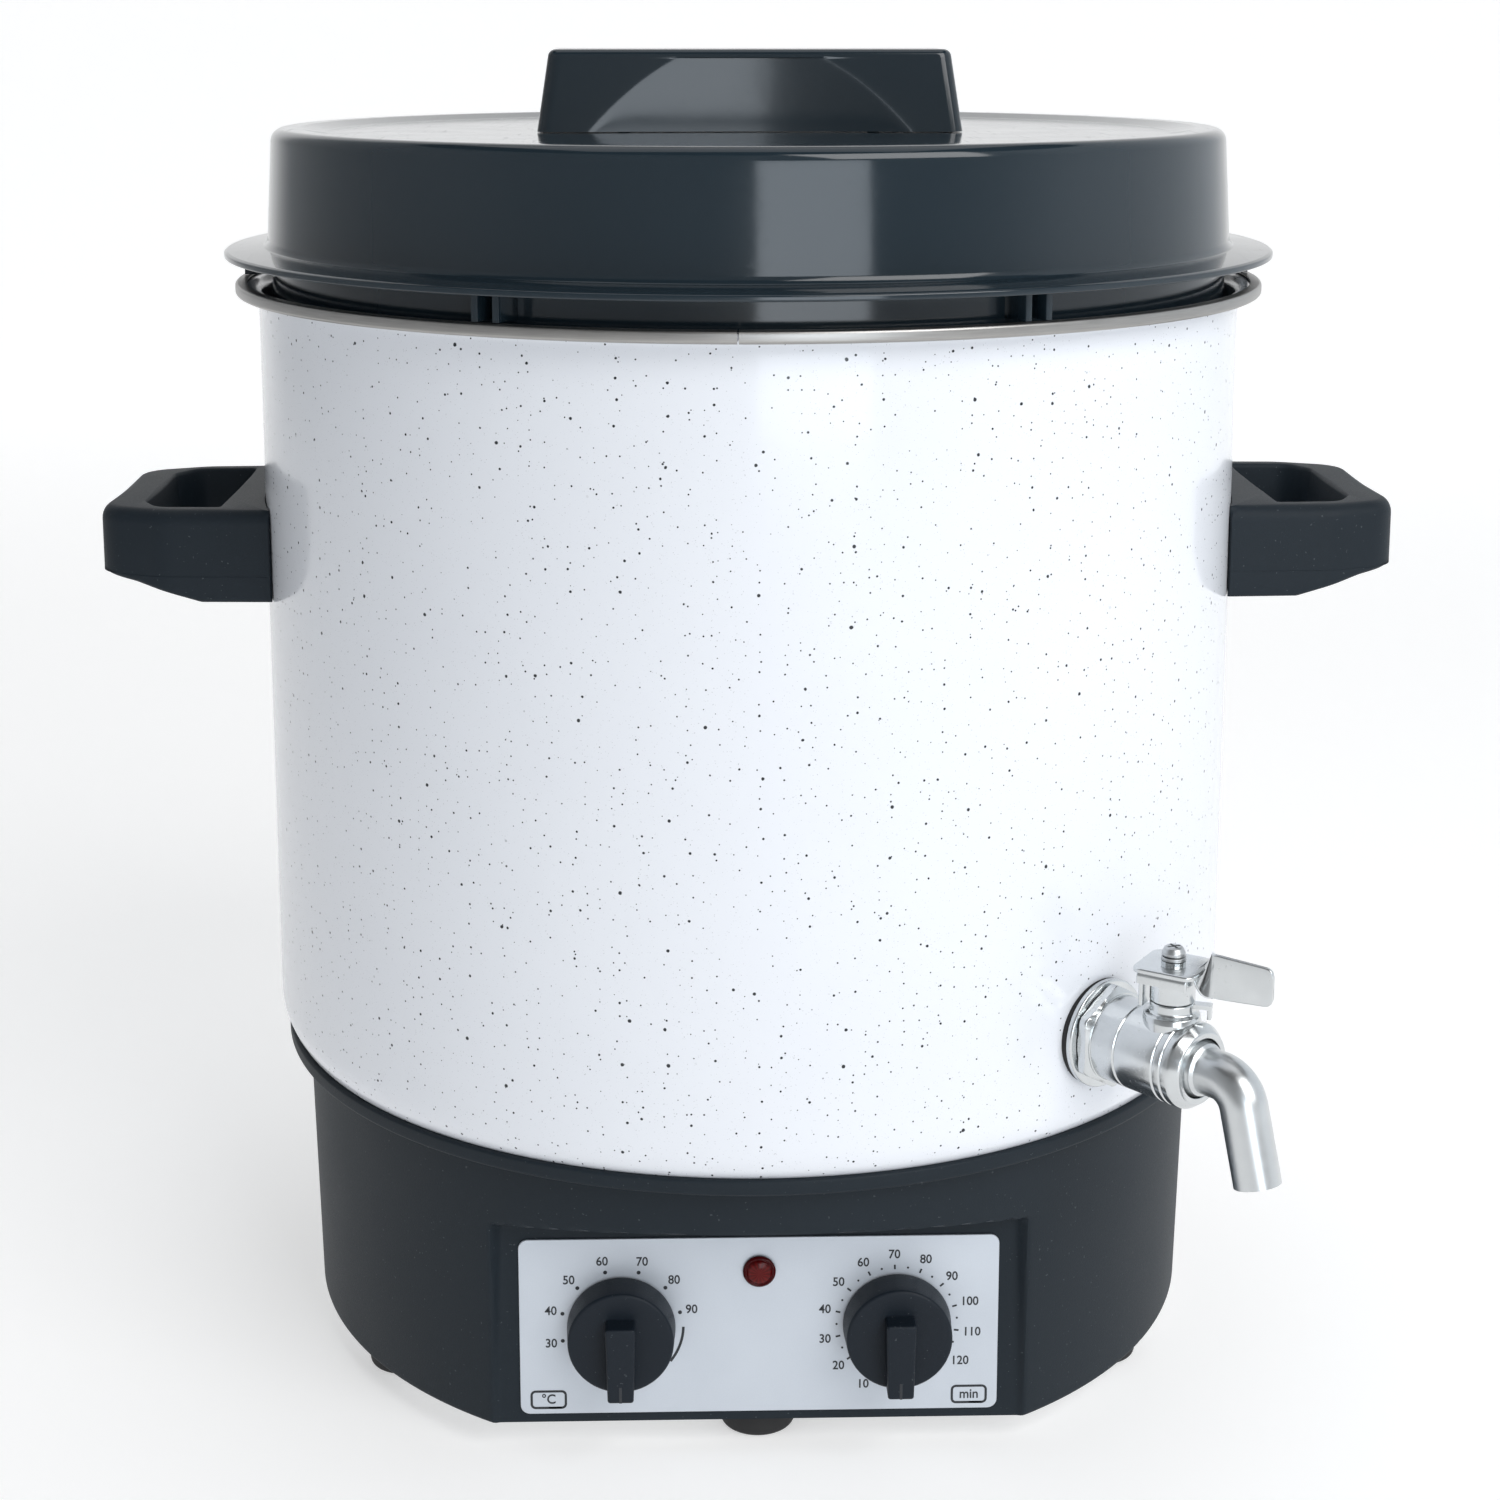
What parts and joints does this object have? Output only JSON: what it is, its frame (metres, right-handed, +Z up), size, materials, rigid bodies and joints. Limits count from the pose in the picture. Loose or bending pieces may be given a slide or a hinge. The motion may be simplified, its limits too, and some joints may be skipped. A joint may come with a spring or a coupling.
{
  "type": "electric preserving cooker",
  "caption": "Tall enamelled electric preserving pot on a moulded base with two dials, two loop handles, a lift-off lid and a lever tap.",
  "frame": {"origin": "on the pot's axis, level with the undersides of the feet", "axes": "+Z up, -Y out of the control panel, +X towards the handle at the viewer's right"},
  "size_m": [0.46, 0.3788, 0.4658],
  "materials": {
    "white_enamel": "gloss",
    "glossy_lid_plastic": "gloss",
    "charcoal_plastic": "fine grain",
    "knob_plastic": "satin",
    "black_rubber": "matt",
    "polished_steel": "polished",
    "zinc_plated_steel": "zinc plated",
    "silver_fascia": "satin silver",
    "red_lens": "clear red",
    "white_ptfe": "waxy",
    "white_ceramic": "matt ceramic",
    "element_steel": "dark satin"
  },
  "bodies": {
    "cooker": {"base_housing": "charcoal_plastic", "bottom_cover": "zinc_plated_steel", "bottom_rack": "polished_steel", "cable_gland": "black_rubber", "clamp_nut": "zinc_plated_steel", "control_bracket": "zinc_plated_steel", "control_plate": "silver_fascia", "cover_nut": "zinc_plated_steel", "cover_screw_1": "zinc_plated_steel", "cover_screw_2": "zinc_plated_steel", "cover_screw_3": "zinc_plated_steel", "cover_screw_4": "zinc_plated_steel", "cover_washer": "zinc_plated_steel", "foot_1": "black_rubber", "foot_2": "black_rubber", "foot_3": "black_rubber", "foot_4": "black_rubber", "foot_5": "black_rubber", "foot_6": "black_rubber", "handle_left": "charcoal_plastic", "handle_right": "charcoal_plastic", "handle_screw_left_front": "zinc_plated_steel", "handle_screw_left_rear": "zinc_plated_steel", "handle_screw_right_front": "zinc_plated_steel", "handle_screw_right_rear": "zinc_plated_steel", "heat_plate": "zinc_plated_steel", "heater_clamp": "zinc_plated_steel", "heating_element": "element_steel", "lamp_holder": "black_rubber", "lamp_lens": "red_lens", "pot": "white_enamel", "pot_seal": "black_rubber", "rim_ring": "polished_steel", "safety_cutout": "white_ceramic", "sensor_bulb": "polished_steel", "tap_body": "polished_steel", "tap_flange": "polished_steel", "tap_inner_nut": "polished_steel", "tap_inner_seal": "black_rubber", "tap_packing_nut": "polished_steel", "tap_seal": "black_rubber", "tap_seat_inner": "white_ptfe", "tap_seat_outer": "white_ptfe", "tap_spout": "polished_steel", "terminal_block": "white_ceramic", "thermostat_body": "white_ceramic", "timer_body": "zinc_plated_steel"},
    "lid": {"lid_shell": "glossy_lid_plastic", "lid_handle": "glossy_lid_plastic", "lid_handle_screw_left": "zinc_plated_steel", "lid_handle_screw_right": "zinc_plated_steel"},
    "thermostat_dial": {"thermostat_knob": "knob_plastic", "thermostat_shaft": "zinc_plated_steel"},
    "timer_dial": {"timer_knob": "knob_plastic", "timer_shaft": "zinc_plated_steel"},
    "tap_handle": {"tap_lever": "polished_steel", "tap_lever_screw": "polished_steel", "tap_spring_washer": "polished_steel", "tap_stem": "polished_steel", "tap_ball": "polished_steel"}
  },
  "joints": [
    {"name": "lid_lift", "type": "slide", "parent": "cooker", "child": "lid", "axis": [0, 0, 1], "range_m": [0, 0.15]},
    {"name": "thermostat_turn", "type": "hinge", "parent": "cooker", "child": "thermostat_dial", "pos_m": [-0.0463, -0.136, 0.0447], "axis": [0, 1, 0], "range_deg": [0, 307]},
    {"name": "timer_turn", "type": "hinge", "parent": "cooker", "child": "timer_dial", "pos_m": [0.0463, -0.136, 0.0447], "axis": [0, 1, 0], "range_deg": [0, 330]},
    {"name": "tap_lever_turn", "type": "hinge", "parent": "cooker", "child": "tap_handle", "pos_m": [0.13177, -0.15704, 0.1475], "axis": [0, 0, 1], "range_deg": [-17, 73]}
  ]
}
